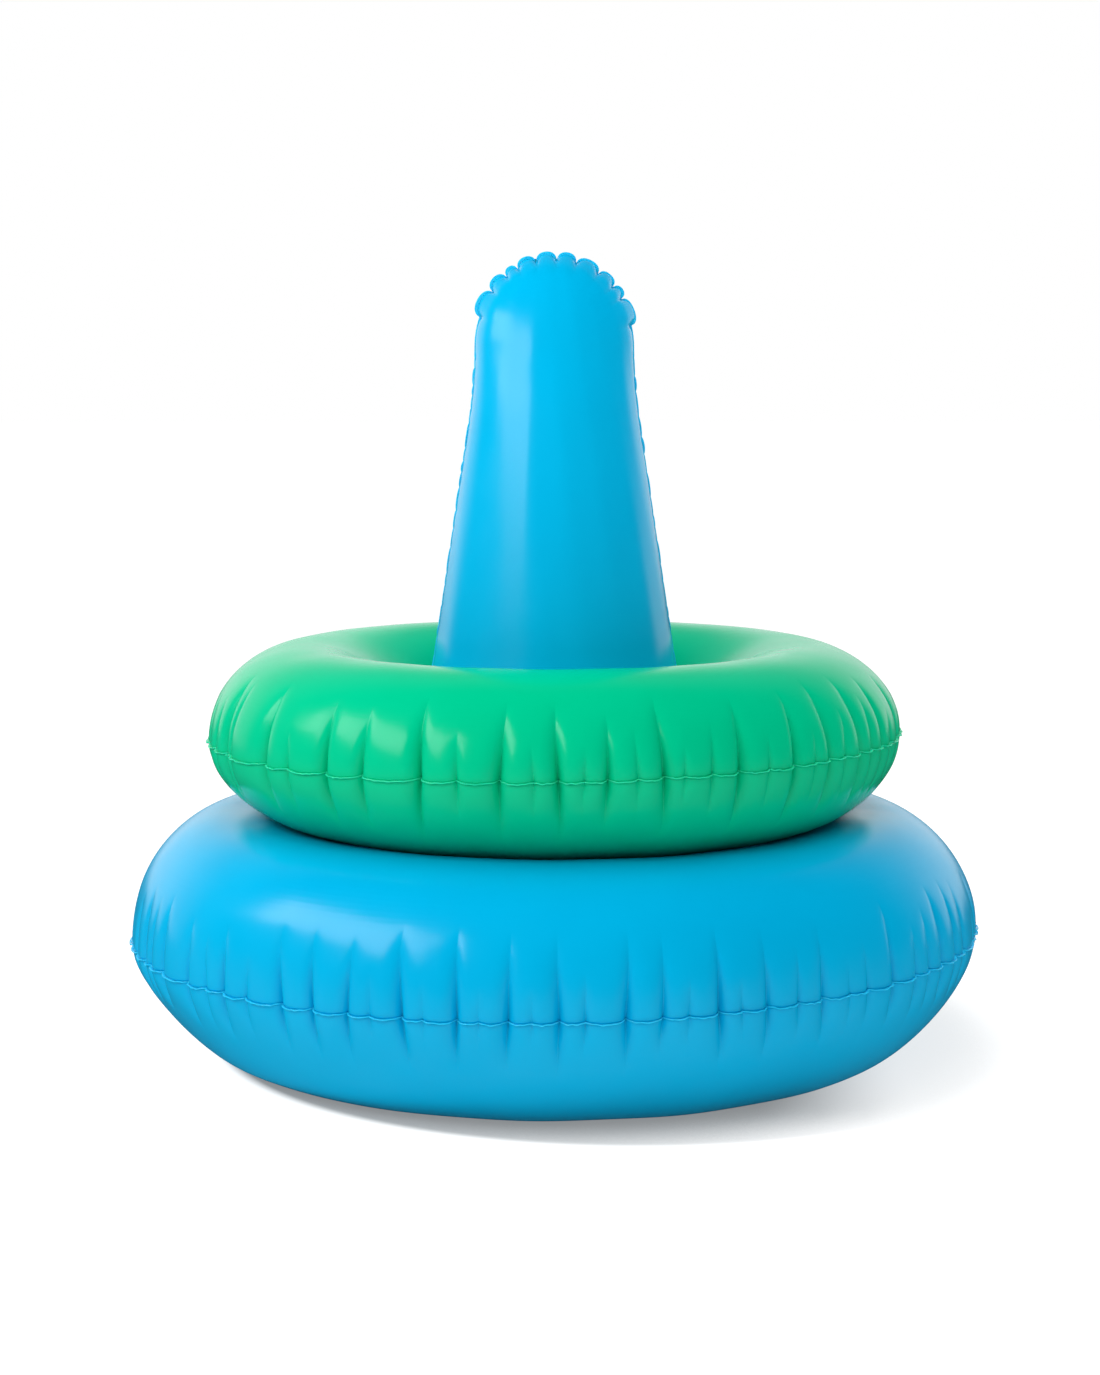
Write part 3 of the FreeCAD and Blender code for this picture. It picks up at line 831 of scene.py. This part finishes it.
def valve_bellows(valve, material):
    """The folded skirt between the panel and the stem, in one fixed shape round the valve's axis."""
    inner = [(r - SKIRT_THICKNESS, w) for r, w in SKIRT[::-1]]
    return lathe(f"{valve.host}_valve_skirt", valve, [*SKIRT, *inner], material)


# ---------------------------------------------------------------- materials


class Nodes:
    """Short ways to add and link the shader nodes of a new material, or of a world."""

    def __init__(self, name, made_by=bpy.data.materials, shader="Principled BSDF"):
        self.material = made_by.new(name)
        self.material.use_nodes = True
        self.tree = self.material.node_tree
        self.shader = self.tree.nodes[shader]

    def add(self, kind, **values):
        node = self.tree.nodes.new(kind)
        for key, value in values.items():
            if key in node.inputs:
                node.inputs[key].default_value = value
            else:
                setattr(node, key, value)
        return node

    def link(self, out, into):
        self.tree.links.new(out, into)

    def ramp(self, value, places, levels):
        """A smooth change from one level to the other between two places."""
        (start, end), (low, high) = places, levels
        sockets = {"From Min": start, "From Max": end, "To Min": low, "To Max": high}
        node = self.add("ShaderNodeMapRange", **sockets)
        node.interpolation_type = "SMOOTHSTEP"
        self.link(value, node.inputs["Value"])
        return node.outputs["Result"]

    def combined(self, operation, a, b):
        """Two values put together."""
        node = self.add("ShaderNodeMath")
        node.operation = operation
        self.link(a, node.inputs[0])
        self.link(b, node.inputs[1])
        return node.outputs["Value"]


def vinyl(name, colour, deep, see_through=0.0, shine=SHINE):
    """Soft PVC film: even colour with faint clouding, a fine pebble and a satin shine."""
    n = Nodes(name)
    shader = n.shader
    where = n.add("ShaderNodeTexCoord").outputs["Object"]
    cloud = n.add("ShaderNodeTexNoise", Scale=9.0, Detail=3.0, Roughness=0.55)
    n.link(where, cloud.inputs["Vector"])
    tint = n.add("ShaderNodeMix", data_type="RGBA")
    tint.inputs["A"].default_value = (*deep, 1)
    tint.inputs["B"].default_value = (*colour, 1)
    ramp = n.add("ShaderNodeMapRange", **{"From Min": 0.3, "From Max": 0.6})
    n.link(cloud.outputs["Fac"], ramp.inputs["Value"])
    n.link(ramp.outputs["Result"], tint.inputs["Factor"])
    n.link(tint.outputs["Result"], shader.inputs["Base Color"])
    smear = n.add("ShaderNodeTexNoise", Scale=26.0, Detail=4.0, Roughness=0.6)
    n.link(where, smear.inputs["Vector"])
    gloss = n.add("ShaderNodeMapRange", **{"From Min": 0.3, "From Max": 0.7, "To Min": 0.19, "To Max": 0.25})
    n.link(smear.outputs["Fac"], gloss.inputs["Value"])
    n.link(gloss.outputs["Result"], shader.inputs["Roughness"])
    pebble = n.add("ShaderNodeTexNoise", Scale=260.0, Detail=1.0)
    n.link(where, pebble.inputs["Vector"])
    bump = n.add("ShaderNodeBump", Strength=0.04, Distance=0.0003)
    n.link(pebble.outputs["Fac"], bump.inputs["Height"])
    n.link(bump.outputs["Normal"], shader.inputs["Normal"])
    shader.inputs["IOR"].default_value = 1.5
    shader.inputs["Specular IOR Level"].default_value = shine
    shader.inputs["Subsurface Weight"].default_value = see_through
    shader.inputs["Subsurface Radius"].default_value = (0.3, 0.8, 1.0)
    shader.inputs["Subsurface Scale"].default_value = 0.004
    return n.material


def valve_plastic(name):
    """Milky moulded PVC, softer and duller than the film."""
    n = Nodes(name)
    where = n.add("ShaderNodeTexCoord").outputs["Object"]
    cloud = n.add("ShaderNodeTexNoise", Scale=140.0, Detail=3.0)
    n.link(where, cloud.inputs["Vector"])
    tint = n.add("ShaderNodeMix", data_type="RGBA")
    tint.inputs["A"].default_value = (0.66, 0.74, 0.78, 1)
    tint.inputs["B"].default_value = (0.78, 0.84, 0.86, 1)
    n.link(cloud.outputs["Fac"], tint.inputs["Factor"])
    n.link(tint.outputs["Result"], n.shader.inputs["Base Color"])
    grain = n.add("ShaderNodeTexNoise", Scale=2200.0)
    n.link(where, grain.inputs["Vector"])
    bump = n.add("ShaderNodeBump", Strength=0.12, Distance=0.0002)
    n.link(grain.outputs["Fac"], bump.inputs["Height"])
    n.link(bump.outputs["Normal"], n.shader.inputs["Normal"])
    n.shader.inputs["Roughness"].default_value = 0.38
    n.shader.inputs["Transmission Weight"].default_value = 0.25
    return n.material


# ---------------------------------------------------------------- stage


def add_camera():
    """The one camera, in front and a little above."""
    data = bpy.data.cameras.new("camera")
    data.lens = LENS_MM
    data.sensor_width = FILM_MM
    data.sensor_fit = "AUTO"
    camera = bpy.data.objects.new("camera", data)
    camera.location = CAMERA_PLACE
    camera.rotation_euler = (math.pi / 2 - CAMERA_TILT, 0, 0)
    bpy.context.scene.collection.objects.link(camera)
    bpy.context.scene.camera = camera


def add_floor():
    """A floor that glows white and darkens where the set keeps the sky off it."""
    size = FLOOR_HALF_WIDTH
    corners = [(-size, -size, 0), (size, -size, 0), (size, size, 0), (-size, size, 0)]
    n = Nodes("floor_white")
    n.shader.inputs["Base Color"].default_value = FLOOR_COLOUR
    n.shader.inputs["Roughness"].default_value = 0.9
    n.shader.inputs["Specular IOR Level"].default_value = 0.0
    shade = n.add("ShaderNodeAmbientOcclusion", Distance=FLOOR_SHADE_REACH)
    shade.samples = 8
    spot = n.add("ShaderNodeTexCoord").outputs["Object"]
    away = n.add("ShaderNodeVectorMath")
    away.operation = "DISTANCE"
    n.link(spot, away.inputs[0])
    away.inputs[1].default_value = SHADOW_CENTRE
    split = n.add("ShaderNodeSeparateXYZ")
    n.link(spot, split.inputs["Vector"])
    strength = n.ramp(shade.outputs["AO"], (0.0, FLOOR_OPEN), (FLOOR_DARKEST, FLOOR_GLOW))
    for value, places, levels in (
        (away.outputs["Value"], SHADOW_EDGE, (0.0, FLOOR_GLOW)),
        (split.outputs["X"], SHADOW_FADE, SHADOW_FADED),
    ):
        strength = n.combined("MAXIMUM", strength, n.ramp(value, places, levels))
    n.link(strength, n.shader.inputs["Emission Strength"])
    n.shader.inputs["Emission Color"].default_value = WHITE
    n.material.cycles.emission_sampling = "NONE"
    floor = mesh_object("floor", corners, [(0, 1, 2, 3)], n.material, smooth=False)
    floor.visible_glossy = False


def add_softbox(name, place, aim, size, power, roll=0.0):
    """A rectangular light that the camera doesn't see."""
    data = bpy.data.lights.new(name, "AREA")
    data.shape = "RECTANGLE"
    data.size, data.size_y = size
    data.energy = power
    light = bpy.data.objects.new(name, data)
    light.location = place
    light.visible_camera = False
    facing = (Vector(aim) - Vector(place)).to_track_quat("-Z", "Y")
    light.rotation_euler = (facing @ Quaternion((0, 0, 1), roll)).to_euler()
    bpy.context.scene.collection.objects.link(light)
    return light


def add_world():
    """White walls behind; a dark ceiling, a dark front and nothing below, so that colours stay deep."""
    n = Nodes("studio", bpy.data.worlds, "Background")
    split = n.add("ShaderNodeSeparateXYZ")
    n.link(n.add("ShaderNodeTexCoord").outputs["Generated"], split.inputs["Vector"])
    walls = n.ramp(split.outputs["Y"], WORLD_WALLS, (WORLD_FRONT, WORLD_BACK))
    ceiling = n.ramp(split.outputs["Z"], WORLD_UPWARD, (1.0, WORLD_CEILING))
    below = n.ramp(split.outputs["Z"], WORLD_DOWNWARD, (WORLD_BELOW, 1.0))
    lit = n.combined("MULTIPLY", walls, n.combined("MULTIPLY", ceiling, below))
    seen = n.add("ShaderNodeLightPath").outputs["Is Camera Ray"]
    n.link(n.combined("MAXIMUM", lit, seen), n.shader.inputs["Strength"])
    n.shader.inputs["Color"].default_value = WHITE
    bpy.context.scene.world = n.material


# ---------------------------------------------------------------- the set


add_camera()
add_floor()
add_world()
add_softbox("key", *KEY, KEY_ROLL)
for light_name, light in SOFT_LIGHTS.items():
    soft = add_softbox(light_name, *light)
    soft.visible_glossy = False
    soft.data.cycles.use_multiple_importance_sampling = False
bpy.context.scene.view_settings.view_transform = "Standard"

blue = vinyl("blue_vinyl", BLUE, BLUE_DEEP)
green = vinyl("green_vinyl", GREEN, GREEN_DEEP, shine=GREEN_SHINE)
# The welds' lighter colour is partly their own paler tone and partly a painted highlight on the seams and the
# post's lobes
blue_weld_and_highlight = vinyl("blue_weld_and_highlight", BLUE_WELD_AND_HIGHLIGHT, BLUE_WELD_AND_HIGHLIGHT_DEEP, WELD_SEE_THROUGH)
green_weld_and_highlight = vinyl("green_weld_and_highlight", GREEN_WELD_AND_HIGHLIGHT, GREEN_WELD_AND_HIGHLIGHT_DEEP, WELD_SEE_THROUGH)
milky = valve_plastic("valve_pvc")

valves = {host: Valve(host) for host in ("base", "post", "ring")}

base = Tube("base", BASE_UNDER, Creases(BASE_CREASES, BASE_RADIUS, *BASE_CREASED, seed=5))
ring = Tube("ring", RING_UNDER, Creases(RING_CREASES, RING_RADIUS, *RING_CREASED, seed=8))
for tube, body, material, weld_material, slot in (
    (base, "base", blue, blue_weld_and_highlight, "blue_vinyl"), (ring, "ring", green, green_weld_and_highlight, "green_vinyl"),
):
    for half in ("top", "bottom"):
        sheet = tube_sheet(tube, half, material, valves[tube.name] if half == "top" else None)
        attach(sheet, body)
        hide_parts(f"{tube.name}_{half}_panel")
    edge = outer_weld(tube, weld_material, seed=51)
    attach(edge, body)
    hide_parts(f"{tube.name}_outer_weld")
    low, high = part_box(f"{tube.name}_inner_weld")
    free_r = np.hypot(*node_points(f"{tube.name}_inner_weld")[:, :2].T).min()
    level = (low.z + high.z) / 2
    inner = inner_weld(f"{tube.name}_inner_weld_edge", high.x + 1 * MM, free_r, level, weld_material, seed=61)
    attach(inner, body)
    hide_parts(f"{tube.name}_inner_weld")

post = Post()
for front in (True, False):
    sheet = post_sheet(post, front, blue, None if front else valves["post"])
    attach(sheet, "base")
    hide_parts("post_front_panel" if front else "post_back_panel")
edge = post_side_weld(post, blue_weld_and_highlight)
for piece, node in zip(
    (edge, *foot_sheets(blue, blue, blue_weld_and_highlight)),
    ("post_side_weld", "base_centre_web", "post_foot_panel", "post_foot_weld"),
):
    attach(piece, "base")
    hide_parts(node)

for host, valve in valves.items():
    skirt = valve_bellows(valve, milky)
    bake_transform(skirt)
    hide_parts(f"{host}_valve_bellows")

for name, node in frame["nodes"].items():
    finish = milky if "_valve_" in name else green if name.startswith("ring") else blue
    node.data.materials.clear()
    node.data.materials.append(finish)
